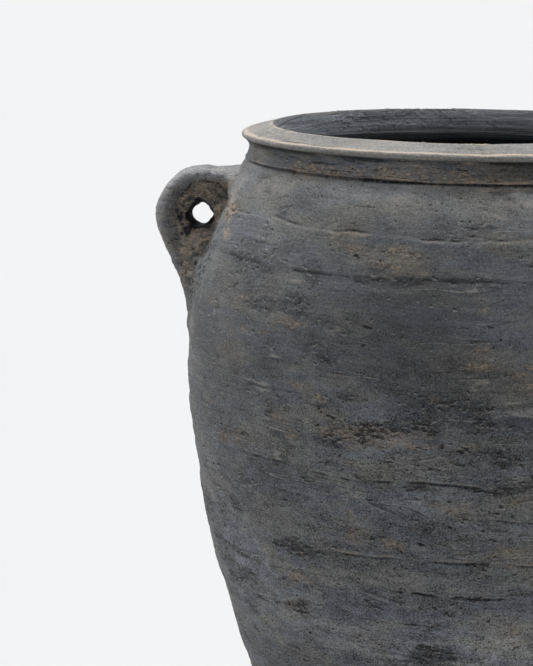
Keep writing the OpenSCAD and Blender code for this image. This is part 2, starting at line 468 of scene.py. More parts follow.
def mark_beside_lug(az, seed):
    """The wall beside a lug: gouged by the finger, scraped and gritty, with a scuffed pale ridge round it
    that also carries a painted highlight.
    """
    turn = np.abs((AZ - az + 180) % 360 - 180)
    sight = np.cos(np.radians(turn - 8))
    cut = np.clip(181 - 175.2 / sight, 0, 6) * ramp(22.5 - turn, 0, 3)
    relief[:] -= cut * ramp(LUG_Z, -34, -14) * (1 - ramp(LUG_Z, 14, 24))
    wander = 1.2 * line_noise(seed, 60) + 0.9 * field(seed + 1, 10, 7)
    reach = 24.0 * np.sqrt(np.clip(1 - ((LUG_Z + 14) / 52) ** 2, 0.12, 1)) + wander
    tall = ramp(LUG_Z, -62, -46) * (1 - ramp(LUG_Z, 16, 26))
    scraped = (1 - ramp(turn - reach, -2.5, 1.0)) * tall
    rough = field(seed + 6, 3.2, 2.4) + 0.7 * field(seed + 7, 1.7, 1.4)
    relief[:] += scraped * (-0.5 + 0.4 * rough)
    ridge = lumpy_line(turn - reach - 4.0, 2.6) * tall
    relief[:] += 0.4 * ridge
    upper = ramp(LUG_Z, -18, 4)
    dust_push[:] += 1.5 * scraped + (0.3 + 1.8 * upper) * ridge
    # painted highlight along the ridge, stronger higher up where light from above falls; partly scuffed
    # pale clay
    pale_line[:] += (0.05 + 1.0 * upper) * ridge * ramp(rough, -1.6, 0.8)
    dark_line[:] += 0.55 * scraped * ramp(-rough, 0.5, 1.7)


def mark_groove():
    """The groove under the collar: smeared full over the left lug; elsewhere a dark line of painted shade
    in it and pale lines of painted highlight on its edges.
    """
    above = CANVAS_S - WALL_TOP
    fill = 1 - ramp(np.abs(AZ + 90), 8, 26)
    relief[:] += fill * (1.7 * lumpy_line(above, 1.6) + 1.0 * lumpy_line(above + 3, 4))
    # painted shade: a dark line in the groove
    dark_line[:] += (0.45 + 0.4 * ramp(AZ, -60, -10)) * lumpy_line(above - 0.1, 0.6) * (1 - fill)
    # painted highlight: pale lines on both edges of the groove
    edge = above - 1.7
    strength = 1.0 + 0.35 * line_noise(96, 25)
    pale_line[:] += strength * lumpy_line(edge, 0.9) * (1 - fill)
    strength = 0.6 * ramp(line_noise(97, 30), -0.6, 1.0)
    pale_line[:] += strength * lumpy_line(edge + 3.9, 1.0) * (1 - fill)


mark_beside_lug(-90, 81)
mark_beside_lug(90, 181)
mark_groove()

# smoke stains, and the painted shade smudges beside the seams' ledges
stain_and_shade = ramp(0.75 * layered(11, 34, 13, 5, 0.62) + stain_and_shade_push, 0.1, 2.6)
dust = ramp(0.75 * layered(31, 30, 12, 5, 0.62) + dust_push, 0.2, 2.6)
grit = ramp(np.maximum(stain_and_shade, dust) + 0.25 * field(35, 14, 7), 0.45, 1.0)
relief += grit * (0.16 * field(36, 2.6, 1.8) + 0.10 * field(37, 1.5, 1.2))


def blurred(canvas, size):
    """The canvas smoothed over a size in mm."""
    soft = blur_filter(len(canvas), ROW, size, size)
    return np.fft.irfft2(np.fft.rfft2(canvas) * soft, s=canvas.shape)


LIP_EDGE_S = float(SKIN_S[np.argmax(np.where(SKIN_S > COLLAR_TOP, SKIN_R, 0))])
CREST_S = float(SKIN_S[np.argmax(SKIN_Z)])


def mark_lip():
    """The lip: pale from just below its outer edge to the crest, scuffed clay on the top and painted
    light on the lit outer face; pale lines of painted highlight where the top turns over and along the
    crest, and painted shade under the lip.

    Returns the canvas of that pale clay and painted light.
    """
    past_edge = CANVAS_S - LIP_EDGE_S
    past_crest = CANVAS_S - CREST_S
    # pale clay from about 2 mm below the outer edge: scuffed clay on the top, painted light on the lit
    # outer face
    worn_and_lit = ramp(past_edge + 0.2 * line_noise(91, 30), -2.3, -1.7)
    worn_and_lit = worn_and_lit * (1 - ramp(past_crest, -1.0, 1.5))
    # painted highlight: a tan line where the top turns over
    turn_over = past_edge - 4.4 - 0.35 * line_noise(93, 20)
    pale_line[:] += (1.0 + 0.3 * line_noise(92, 30)) * lumpy_line(turn_over, 1.6)
    # painted highlight: a pale line along the crest
    pale_line[:] += (0.5 + 0.25 * line_noise(94, 16)) * lumpy_line(past_crest + 0.5, 0.9)
    blush = ramp(-AZ, 35, 62) * (1 - ramp(-AZ, 100, 125)) * ramp(past_edge, -1, 2)
    pale_line[:] += 0.42 * (blush * ramp(field(99, 7, 3), -1.8, 1.8))
    # painted shade: a dark line just under the lip's edge and a dark band below it, where the lip shades
    # the collar
    under = lumpy_line(past_edge + 4.4, 1.8) * (0.5 + 0.3 * ramp(line_noise(95, 30), -1, 1))
    shade = 0.6 * ramp(-past_edge, 2.2, 3.0) * (1 - ramp(-past_edge, 5, 13))
    dark_line[:] += 0.55 * under + shade * ramp(field(98, 30, 4), -1.5, 1.0)
    return worn_and_lit


worn_and_lit = mark_lip()
hollow = np.clip((relief - blurred(relief, 3.0)) / 0.35, -1, 1)

IN_ROW = 1.0
IN_ROWS = int(POT_H / IN_ROW) + 4
inner_relief = 0.5 * field(51, 90, 40, IN_ROWS, IN_ROW) + 0.25 * field(52, 110, 5, IN_ROWS, IN_ROW)
inner_relief += 0.12 * field(53, 60, 2.2, IN_ROWS, IN_ROW)


def sample(canvas, s, row):
    """The canvas at heights s, an array of rows by COLS."""
    x = np.clip(s / row, 0, canvas.shape[0] - 1.001)
    i = x.astype(int)
    f = x - i
    col = np.arange(COLS)
    return canvas[i, col] * (1 - f) + canvas[i + 1, col] * f


# ---- the rings of clay as meshes
# FINE and COARSE are the heights of a row of points outside and inside
FINE = 0.75
COARSE = 6.0
SIN = np.sin(np.radians(AZ))
COS = np.cos(np.radians(AZ))
NAMES = ("stain_and_shade", "dust", "hollow", "line", "rub", "pale", "tone", "interior_shade")


def outer_rows(s):
    """Points and marks of the outer skin at s, rows by COLS."""
    r, z, nr, nz = skin(s)
    d = sample(relief, s, ROW)
    marks = [sample(c, s, ROW) for c in (stain_and_shade, dust, hollow, dark_line, pale_line, worn_and_lit, tone)]
    # painted shade down the inner side of the lip
    inner = ramp(s, CREST_S, CREST_S + 3) * throat_shade(z)
    return r + nr * d, z + nz * d, marks + [inner]


def throat_shade(z):
    """Painted shade inside at a height: none at the crest, black in the neck, paler below."""
    return ramp(POT_H + 1 - z, 0, 34) * (1 - 0.12 * ramp(POT_H - z, 45, 150))


def inner_rows(z):
    """Points and marks of the inside of the wall at heights z."""
    d = sample(inner_relief, z, IN_ROW)
    zero = np.zeros_like(z)
    # the inside carries painted shade by height
    return inside_r(z) - d, z, [zero, zero, np.clip(-d, -1, 1)] + [zero] * 4 + [throat_shade(z)]


def between(a, b, n):
    """n rows of points strictly between the row a and the row b."""
    t = (np.arange(1, n + 1) / (n + 1))[:, None]
    return tuple(a[k] * (1 - t) + b[k] * t for k in (0, 1))


class Skin:
    """Rows of points that are collected into one closed mesh."""

    def __init__(self):
        self.r, self.z, self.marks, self.sharp = [], [], [], []
        self.count = 0

    def add(self, rows, sharp_ends=False):
        """Adds rows of points with their marks; sharp_ends keeps the first and last row crisp."""
        r, z, marks = rows
        self.r.append(r)
        self.z.append(z)
        self.marks.append(np.stack(marks))
        if sharp_ends:
            self.sharp += [self.count, self.count + len(r) - 1]
        self.count += len(r)
        return self

    def joint(self, a, b, n=3):
        """Rows across a joint face, from the last point of a to the first of b."""
        r, z = between((a[0][-1], a[1][-1]), (b[0][0], b[1][0]), n)
        zero = np.zeros_like(r)
        # joint faces between the rings get painted shade
        self.add((r, z, [zero] * 7 + [zero + 0.6]))

    def build(self, name, closed=True):
        """The mesh: the rows run round in a loop, or end in two flat caps if it isn't closed."""
        r = np.concatenate(self.r)
        z = np.concatenate(self.z)
        marks = np.concatenate(self.marks, axis=1)
        rows = len(r)
        co = np.stack([r * SIN, -r * COS, z], axis=-1).reshape(-1, 3) * MM
        last = rows if closed else rows - 1
        i = np.arange(last)[:, None]
        j = np.arange(COLS)
        up = (i + 1) % rows
        side = (j + 1) % COLS
        corners = [i * COLS + j, i * COLS + side, up * COLS + side, up * COLS + j]
        quads = np.stack(corners, axis=-1).reshape(-1, 4)
        values = {n: marks[k].reshape(-1) for k, n in enumerate(NAMES)}
        sharp = np.zeros(rows, bool)
        sharp[self.sharp] = True
        caps = [] if closed else [0, rows - 1]
        return make_mesh(name, co, quads, values, sharp, caps)


def put(name, data):
    """A new object in the scene."""
    obj = bpy.data.objects.new(name, data)
    scene.collection.objects.link(obj)
    return obj


def make_mesh(name, co, quads, values, sharp_rows=None, caps=()):
    """A mesh object from points and quads, with one number per point for each mark."""
    rings = [np.arange(c * COLS, (c + 1) * COLS) for c in caps]
    if rings:
        rings[0] = rings[0][::-1]
    loops = np.concatenate([quads.reshape(-1)] + rings)
    starts = np.append(np.arange(len(quads)) * 4, quads.size + np.arange(len(rings)) * COLS)
    me = bpy.data.meshes.new(name)
    me.vertices.add(len(co))
    me.vertices.foreach_set("co", co.astype(np.float32).reshape(-1))
    me.loops.add(len(loops))
    me.loops.foreach_set("vertex_index", loops.astype(np.int32))
    me.polygons.add(len(starts))
    me.polygons.foreach_set("loop_start", starts.astype(np.int32))
    me.update(calc_edges=True)
    me.polygons.foreach_set("use_smooth", np.ones(len(starts), bool))
    for key, numbers in values.items():
        layer = me.attributes.new(key, "FLOAT", "POINT")
        layer.data.foreach_set("value", numbers.astype(np.float32))
    if sharp_rows is not None and sharp_rows.any():
        ends = np.zeros(len(me.edges) * 2, np.int32)
        me.edges.foreach_get("vertices", ends)
        row = ends.reshape(-1, 2) // COLS
        hard = (row[:, 0] == row[:, 1]) & sharp_rows[row[:, 0]]
        layer = me.attributes.get("sharp_edge") or me.attributes.new("sharp_edge", "BOOLEAN", "EDGE")
        layer.data.foreach_set("value", hard)
    me.validate()
    return put(name, me)


def level(z):
    """The same height all round the jar."""
    return np.full(COLS, z)


def all_round(column):
    """A column of numbers, the same all round the jar."""
    return np.repeat(column.reshape(-1, 1), COLS, axis=1)


def rows_between(low, high, step):
    """Heights from low to high round the jar, in rows about one step apart."""
    n = max(2, int(round(float(np.mean(np.abs(high - low))) / step)) + 1)
    t = np.linspace(0, 1, n)[:, None]
    return low * (1 - t) + high * t


def boundary(k):
    """Where course k ends, as a height for each column."""
    if k == len(SEAM_Z) - 1:
        return level(WALL_TOP)
    z = SEAM_Z[k]
    slope = next((seam[4] for seam in SEAMS if abs(seam[0] - z) < 2), 0.0)
    return seam_wave(z, slope)


def ring_mesh(name, outside, inside):
    """A ring of clay from its outer and inner rows, with a joint face above and below."""
    mesh = Skin().add(outside, True)
    mesh.joint(outside, inside)
    mesh.add(inside, True)
    mesh.joint(inside, outside)
    return mesh.build(name)


def course(k):
    """Course k of the wall, from seam k to seam k + 1."""
    low = boundary(k)
    high = boundary(k + 1)
    heights = rows_between(low, high, FINE)
    if k == len(COURSES) - 1:
        turn_in = rows_between(high - 4, high, 0.4)
        heights = np.concatenate([rows_between(low, high - 4.4, FINE), turn_in])
    outside = outer_rows(heights)
    inner_step = COARSE if k < 8 else 2.0
    inside = inner_rows(rows_between(high - SCARF, low - SCARF, inner_step))
    return ring_mesh(COURSES[k] + "_clay", outside, inside)


def base_piece():
    """The floor of the jar with the foot turned up from it."""
    edge = 3.0
    flat = np.array([1.0, 25, 50, 75, 90, FOOT_R - edge])
    under_r = all_round(flat)
    under_z = 0.25 * np.abs(field(61, 25, 25)[: len(flat)]) * (flat[:, None] < 95)
    t = np.radians(np.linspace(-75, -15, 4))
    turn_r = all_round(FOOT_R - edge + edge * np.cos(t))
    turn_z = all_round(edge + edge * np.sin(t))
    high = boundary(1)
    outside = outer_rows(rows_between(level(edge + 0.5), high, FINE))
    fillet = 12.0
    corner_r = float(inside_r(np.array(FLOOR_T + fillet))) - fillet
    inside = inner_rows(rows_between(high - SCARF, level(FLOOR_T + fillet), 2.0))
    t = np.radians(np.linspace(-10, -90, 6))
    bend_r = all_round(corner_r + fillet * np.cos(t))
    bend_z = all_round(FLOOR_T + fillet + fillet * np.sin(t))
    floor_r = all_round(corner_r * np.array([0.8, 0.6, 0.4, 0.2, 0.02]))
    floor_z = FLOOR_T + 0.5 * field(62, 30, 30)[:5] * np.linspace(1, 0, 5)[:, None]
    mesh = Skin()
    for r, z in ((under_r, under_z), (turn_r, turn_z)):
        zero = np.zeros_like(r)
        mesh.add((r, z, [zero, zero + 0.4, zero, zero, zero + 0.3, zero, zero, zero]))
    mesh.add(outside)
    mesh.joint(outside, inside)
    mesh.add(inside)
    for r, z in ((bend_r, bend_z), (floor_r, floor_z)):
        zero = np.zeros_like(r)
        # the inner bottom corner and floor get full painted shade
        mesh.add((r, z, [zero] * 7 + [zero + 1.0]))
    return mesh.build("base_clay", closed=False)


def collar_piece():
    """The collar between the groove and the lip."""
    low = boundary(len(SEAM_Z) - 1)
    high = level(COLLAR_TOP)
    outside = outer_rows(rows_between(low, high, 0.5))
    inside = inner_rows(rows_between(high - SCARF / 2, low - SCARF, 1.5))
    return ring_mesh("collar_clay", outside, inside)


def lip_piece():
    """The folded lip, from the top of the collar over the crest and down to the inside."""
    outside = outer_rows(rows_between(level(COLLAR_TOP), level(S_END), 0.55))
    mesh = Skin().add(outside, True)
    mesh.joint(outside, outside, 6)
    return mesh.build("rim_lip_clay")


pieces = {"base": base_piece(), "collar": collar_piece(), "rim_lip": lip_piece()}
for k in range(1, len(COURSES)):
    pieces[COURSES[k]] = course(k)

# ---- the lugs, from a distance field
# The middle of the strap's bend, the plate that fills it, the finger hole, and the grid's step
EAR_X = 187.5
EAR_Z = EYE_Z - 1.5
PLATE_R = 30.5
HOLE_R = 7.7
GRID = 0.9
LOW = np.array([142.0, -62.0, EAR_Z - 84])
HIGH = np.array([227.0, 62.0, EAR_Z + 44])
SHAPE = tuple(((HIGH - LOW) / GRID).astype(int) + 1)
CORNERS = [(i, j, k) for i in (0, 1) for j in (0, 1) for k in (0, 1)]


def cloud(rng, size):
    """Smooth random numbers on the lug's grid, unit spread; size is the width of a lump in mm."""
    white = np.fft.rfftn(rng.standard_normal(SHAPE))
    steps = [np.fft.fftfreq(n, GRID) for n in SHAPE[:2]] + [np.fft.rfftfreq(SHAPE[2], GRID)]
    squares = sum((f * size * 2.2) ** 2 for f in np.meshgrid(*steps, indexing="ij", sparse=True))
    out = np.fft.irfftn(white * np.exp(-0.5 * squares), s=SHAPE)
    return out / out.std()


def soft_min(a, b, k):
    """The union of two distances with a fillet of size k."""
    h = np.clip(0.5 + 0.5 * (b - a) / k, 0, 1)
    return b * (1 - h) + a * h - k * h * (1 - h)


def soft_max(a, b, k):
    """The part that two distances share, with a fillet of size k."""
    return -soft_min(-a, -b, k)


def strap_path():
    """The strap's centre line: x, z, half thickness, half width."""
    head = []
    for t in np.radians(np.linspace(100, -28, 32)):
        up = max(0.0, math.sin(t))
        half = 7.2 - 2.6 * up**2
        reach = 34.9 + 1.2 * up - half
        x = EAR_X + reach * math.cos(t)
        z = EAR_Z + reach * math.sin(t)
        head.append((x, z, half, 14.5 + 2.0 * math.sin(t)))
    root = [(154, EAR_Z + 26.5, 5.0, 23), (168, EAR_Z + 30.6, 4.7, 19)]
    tail = [(204.5, EAR_Z - 30, 6.0, 11.5), (196.5, EAR_Z - 45, 5.0, 9.5), (188.5, EAR_Z - 62, 3.4, 7.5)]
    return root + head + tail


def along_path(x, z, path):
    """Distance in the X-Z plane from the path, with the half thickness and half width there."""
    best = np.full(x.shape, 1e9)
    thick = np.zeros(x.shape)
    width = np.zeros(x.shape)
    for (x0, z0, a0, b0), (x1, z1, a1, b1) in zip(path[:-1], path[1:]):
        dx, dz = x1 - x0, z1 - z0
        t = np.clip(((x - x0) * dx + (z - z0) * dz) / (dx * dx + dz * dz), 0, 1)
        d = np.hypot(x - x0 - t * dx, z - z0 - t * dz)
        closer = d < best
        best = np.where(closer, d, best)
        thick = np.where(closer, a0 + (a1 - a0) * t, thick)
        width = np.where(closer, b0 + (b1 - b0) * t, width)
    return best, thick, width


def surface_nets(f):
    """Points and quads of the zero surface of a field on the lug's grid, outward facing."""
    inside = f < 0
    cell = np.zeros(tuple(n - 1 for n in f.shape), bool)

    def corner(a, c):
        """The values at one corner of every cell."""
        return a[tuple(slice(o, a.shape[n] - 1 + o) for n, o in enumerate(c))]

    first = corner(inside, (0, 0, 0))
    for c in CORNERS[1:]:
        cell |= corner(inside, c) != first
    at = np.argwhere(cell)
    index = np.full(cell.shape, -1)
    index[cell] = np.arange(len(at))
    total = np.zeros((len(at), 3))
    hits = np.zeros(len(at))
    for c in CORNERS:
        for axis in range(3):
            if c[axis]:
                continue
            d = list(c)
            d[axis] = 1
            v0 = f[tuple((at + c).T)]
            v1 = f[tuple((at + d).T)]
            cross = (v0 < 0) != (v1 < 0)
            t = np.where(cross, v0 / np.where(cross, v0 - v1, 1), 0)
            p = np.array(c, float)[None, :].repeat(len(at), 0)
            p[:, axis] = t
            total += p * cross[:, None]
            hits += cross
    points = at + total / hits[:, None]
    quads = []
    for axis in range(3):
        a, b = [n for n in range(3) if n != axis]
        low = [slice(None)] * 3
        high = [slice(None)] * 3
        low[axis], high[axis] = slice(0, -1), slice(1, None)
        for n in (a, b):
            low[n] = high[n] = slice(1, -1)
        leaving = inside[tuple(low)] & ~inside[tuple(high)]
        entering = ~inside[tuple(low)] & inside[tuple(high)]
        for change, flip in ((leaving, axis != 1), (entering, axis == 1)):
            spot = np.argwhere(change)
            ring = []
            for da, db in ((0, 0), (1, 0), (1, 1), (0, 1)):
                q = spot.copy()
                q[:, a] += da
                q[:, b] += db
                ring.append(index[tuple(q.T)])
            quad = np.stack(ring, axis=1)
            quads.append(quad[:, ::-1] if flip else quad)
    return points, np.concatenate(quads)


def trilinear(f, p):
    """The field at points given in grid steps."""
    top = np.array(f.shape) - 1.001
    p = np.clip(p, 0, top)
    cell = p.astype(int)
    w = p - cell
    out = 0
    for c in CORNERS:
        share = np.prod(np.where(np.array(c), w, 1 - w), axis=1)
        out = out + share * f[tuple((cell + c).T)]
    return out


def canvas_at(side, x, y, z):
    """The canvas row and column beside a point of the lug on one side."""
    turn = 90 * side - np.degrees(np.arctan2(y, x)) + 180
    col = ((turn % 360) / 360 * COLS).astype(int) % COLS
    row = np.clip((z / ROW).astype(int), 0, ROWS - 1)
    return row, col


def lug(name, side, seed):
    """One ear: a bent strap with a finger hole, smeared on to the shoulder. side is -1 for the left."""
    rng = np.random.default_rng(seed)
    axes = [LOW[n] + GRID * np.arange(SHAPE[n]) for n in range(3)]
    x, y, z = np.meshgrid(*axes, indexing="ij", sparse=True)
    reach, thick, width = along_path(x[:, 0, :] + 0 * z[0], z[0] + 0 * x[:, 0, :], strap_path())
    reach, thick, width = (m[:, None, :] for m in (reach, thick, width))
    waves = cloud(rng, 14)
    rough = 0.5 * cloud(rng, 3.6) + 0.36 * cloud(rng, 1.8)
    strap = (np.sqrt((reach / thick) ** 2 + (np.abs(y) / width) ** 2.6) - 1) * thick
    middle = np.hypot(x - EAR_X, z - EAR_Z)
    down = np.clip((EAR_Z - z) / 62, 0, 1)
    web_edge = np.interp(z, EAR_Z + np.array([-66, -45, -30, -14, 0]), (188, 196.5, 204, 210.5, 214))
    web = np.maximum((x - web_edge) * 0.88, np.maximum(EAR_Z - 66 - z, z - EAR_Z))
    plate = soft_max(np.minimum(middle - PLATE_R, web), np.abs(y) - (11.0 - 4.5 * down), 3)
    plate = plate - 0.95 * rough * ramp(web_edge + 3 - x, 0, 7)
    ear = soft_min(strap - 0.3 * waves, plate, 3.0)

    # the crevice where the strap's inner edge was pressed on
    turn = np.degrees(np.arctan2(z - EAR_Z, x - EAR_X))
    inner_edge = 20.0 + 5.2 * np.clip(np.sin(np.radians(turn)), 0, 1) ** 2 * ramp(turn, -10, 60)
    crack = lumpy_line(middle - inner_edge - 2.6 * waves - 0.8 * rough, 1.0)
    crack = crack * ramp(turn, 10, 45) * (1 - ramp(turn, 105, 135))
    ear = ear + 1.8 * crack * ramp(rough + 0.5 * waves, -0.3, 0.6) * ramp(np.abs(y), 8, 11)

    # the hole, wider towards its two mouths
    hole_x = EAR_X + 2.0 + 0.10 * np.abs(y)
    hole_z = EYE_Z + 1.5 - 0.10 * np.abs(y)
    flare = HOLE_R + 0.11 * np.maximum(np.abs(y) - 3, 0) ** 1.6
    hole = np.hypot(x - hole_x, z - hole_z) - flare - 0.75 * cloud(rng, 6.0) - 0.5 * rough
    ear = soft_max(ear, -hole, 1.6)

    # the jar's own surface, and the fillet that joins the ear to it
    row, col = canvas_at(side, x, y, z)
    lump = relief[row, col]
    body = (np.hypot(x, y) - wall_r(z) - lump) * 0.93
    blend = 8.0 + 16.0 * ramp(EAR_Z + 22 - z, 0, 26)
    gritty = rough * (1 - ramp(ear, 14, 24))
    field_here = soft_min(ear, body + 0.5, blend) - 0.25 * gritty
    field_here = np.maximum(field_here, -hole)
    field_here = np.maximum(field_here, ear - 25)
    field_here = np.maximum(field_here, -(body + 4))

    points, quads = surface_nets(field_here)
    p = LOW + points * GRID
    high_up = p[:, 2]
    off_middle = np.abs(p[:, 1])
    co = p * np.array([side, -side, 1.0]) * MM

    def here(values):
        """A field's values at the mesh's points."""
        return trilinear(np.broadcast_to(values, SHAPE), points)

    grain = here(rough)
    bumps = here(waves)
    raw = ramp(here(strap), 0.4, 2.6) * ramp(high_up, EAR_Z - 70, EAR_Z - 48)
    raw = raw * (1 - ramp(high_up, EAR_Z + 25, EAR_Z + 32))
    # painted shade: the inner walls of the finger hole are darkened below, and kept free of dust and
    # scuffing
    in_hole = 1 - ramp(here(hole) + 0.5 * grain, 0.3, 1.6)
    in_hole = in_hole * (1 - ramp(off_middle + 1.2 * grain, 7, 10.5))
    skirt = ramp(here(ear), 1.0, 9.0)
    # painted highlight: the top of the strap is made lighter, where light from above falls on it
    crest = (1 - raw) * ramp(high_up, EAR_Z - 12, EAR_Z + 16) * (0.35 + 0.65 * ramp(off_middle, 6, 12))
    lower = raw * ramp(high_up, EYE_Z - 34, EYE_Z - 24) * (1 - ramp(high_up, EYE_Z - 14, EYE_Z - 8))
    sooty_patch = (0.12 + 0.4 * ramp(-bumps, 0.2, 1.4)) * (1 - 0.8 * lower) * (1 - crest)
    cracked = 0.95 * ramp(here(crack), 0.3, 0.95) + 0.8 * raw * ramp(-grain, 0.5, 1.1)
    dusty = raw * (0.85 + 0.3 * grain) + 0.3 * ramp(bumps, 0.2, 1.5)
    # the crest term here is painted highlight on the strap's top
    lightness = 0.12 * bumps + 0.30 * raw + 0.5 * (1 - raw) + 1.0 * lower + 0.9 * crest
    values = {
        "stain_and_shade": np.clip(sooty_patch + in_hole, 0, 1),
        "dust": np.clip(dusty, 0, 1) * (1 - 0.8 * in_hole),
        "hollow": np.clip(raw * grain * 0.8, -1, 1),
        "line": np.clip(cracked + 1.4 * in_hole, 0, 1),
        "rub": raw * (0.8 * ramp(grain, 0.3, 1.1) + 0.6 * lower) * (1 - in_hole),
        "pale": np.zeros(len(p)),
        "tone": np.clip(lightness, -0.4, 1.6),
        "interior_shade": np.zeros(len(p)),
    }
    row, col = canvas_at(side, *p.T)
    canvases = {"stain_and_shade": stain_and_shade, "dust": dust, "line": dark_line, "rub": pale_line, "tone": tone}
    for key, canvas in canvases.items():
        values[key] = values[key] * (1 - skirt) + canvas[row, col] * skirt
    return make_mesh(name, co, quads, values)


pieces["lug_left"] = lug("lug_left_clay", -1, 301)
pieces["lug_right"] = lug("lug_right_clay", 1, 302)

# ---- the clay


class Nodes:
    """A short way to write a node tree."""

    def __init__(self, tree):
        self.tree = tree

    def make(self, kind, settings=None, **inputs):
        """A node; inputs are named as in Blender, or i0, i1 and so on."""
        node = self.tree.nodes.new("ShaderNode" + kind)
        for key, value in (settings or {}).items():
            setattr(node, key, value)
        for key, value in inputs.items():
            index = int(key[1:]) if key[1:].isdigit() else key.replace("_", " ")
            self.give(node.inputs[index], value)
        return node

    def give(self, socket, value):
        """Links a socket to an output, or sets it to a plain value."""
        if isinstance(value, bpy.types.NodeSocket):
            self.tree.links.new(value, socket)
        elif isinstance(value, tuple) and len(value) == 3 and socket.type == "RGBA":
            socket.default_value = (*value, 1.0)
        else:
            socket.default_value = value

    def math(self, how, a, b=0.0, c=0.0):
        """Arithmetic on two or three numbers."""
        return self.make("Math", {"operation": how}, i0=a, i1=b, i2=c).outputs[0]

    def times(self, a, b):
        """a times b."""
        return self.math("MULTIPLY", a, b)

    def times_add(self, a, b, c):
        """a times b, plus c."""
        return self.math("MULTIPLY_ADD", a, b, c)

    def plus(self, a, b):
        """a plus b."""
        return self.math("ADD", a, b)

    def most(self, a, b):
        """The larger of a and b."""
        return self.math("MAXIMUM", a, b)

    def mark(self, name):
        """One of the meshes' marks."""
        return self.make("Attribute", {"attribute_name": name}).outputs["Fac"]

    def noise(self, coords, wide, high, detail=4.0, rough=0.6):
        """Noise whose lumps are wide mm across and high mm tall."""
        scale = (1000.0 / wide, 1000.0 / wide, 1000.0 / high)
        sized = self.make("Mapping", Vector=coords, Scale=scale).outputs[0]
        made = self.make("TexNoise", Vector=sized, Scale=1.0, Detail=detail, Roughness=rough)
        return made.outputs["Fac"]

    def ramp(self, value, low, high, to_low=0.0, to_high=1.0):
        """A smooth step from to_low at low to to_high at high."""
        how = {"interpolation_type": "SMOOTHSTEP"}
        return self.make("MapRange", how, i0=value, i1=low, i2=high, i3=to_low, i4=to_high).outputs[0]

    def about(self, start, *parts):
        """start plus each noise's distance from a half, times its gain."""
        total = start
        for value, gain in parts:
            shifted = self.math("SUBTRACT", value, 0.5)
            total = self.times_add(shifted, gain, total)
        return total

    def band(self, value, middle, half):
        """1 where the value is within half of the middle: a contour line drawn on the clay."""
        away = self.math("ABSOLUTE", self.math("SUBTRACT", value, middle))
        return self.ramp(away, half, 0.35 * half)

    def mix(self, share, a, b):
        """Colour a, with a share of colour b over it."""
        node = self.make("Mix", {"data_type": "RGBA"})
        for index, value in ((0, share), (6, a), (7, b)):
            self.give(node.inputs[index], value)
        return node.outputs[2]

    def scale(self, colour, factor):
        """A colour made lighter or darker."""
        node = self.make("VectorMath", {"operation": "SCALE"}, i0=colour)
        self.give(node.inputs["Scale"], factor)
        return node.outputs[0]


# near black: smoke black in pits, scratches and specks, and the colour of painted shade in creases, under
# the lip and inside the jar
SOOT_AND_SHADE_COLOUR = (0.0045, 0.0046, 0.0060)
# dark stain colour, also used for painted shade and painted shadow lines
STAIN_AND_SHADE_COLOUR = (0.021, 0.024, 0.031)
DUST = (0.165, 0.135, 0.100)
OCHRE = (0.350, 0.262, 0.180)
PALE = (0.300, 0.285, 0.262)
# pale clay of the lip, which also serves as painted light on its lit outer face
WORN_AND_LIT_COLOUR = (0.168, 0.162, 0.152)
# bright bluish colour of the upper throat: painted light on the inner wall
THROAT = (0.310, 0.333, 0.368)
# tan of the painted highlight lines on the lip and of its warm blush
EDGE = (0.42, 0.34, 0.26)


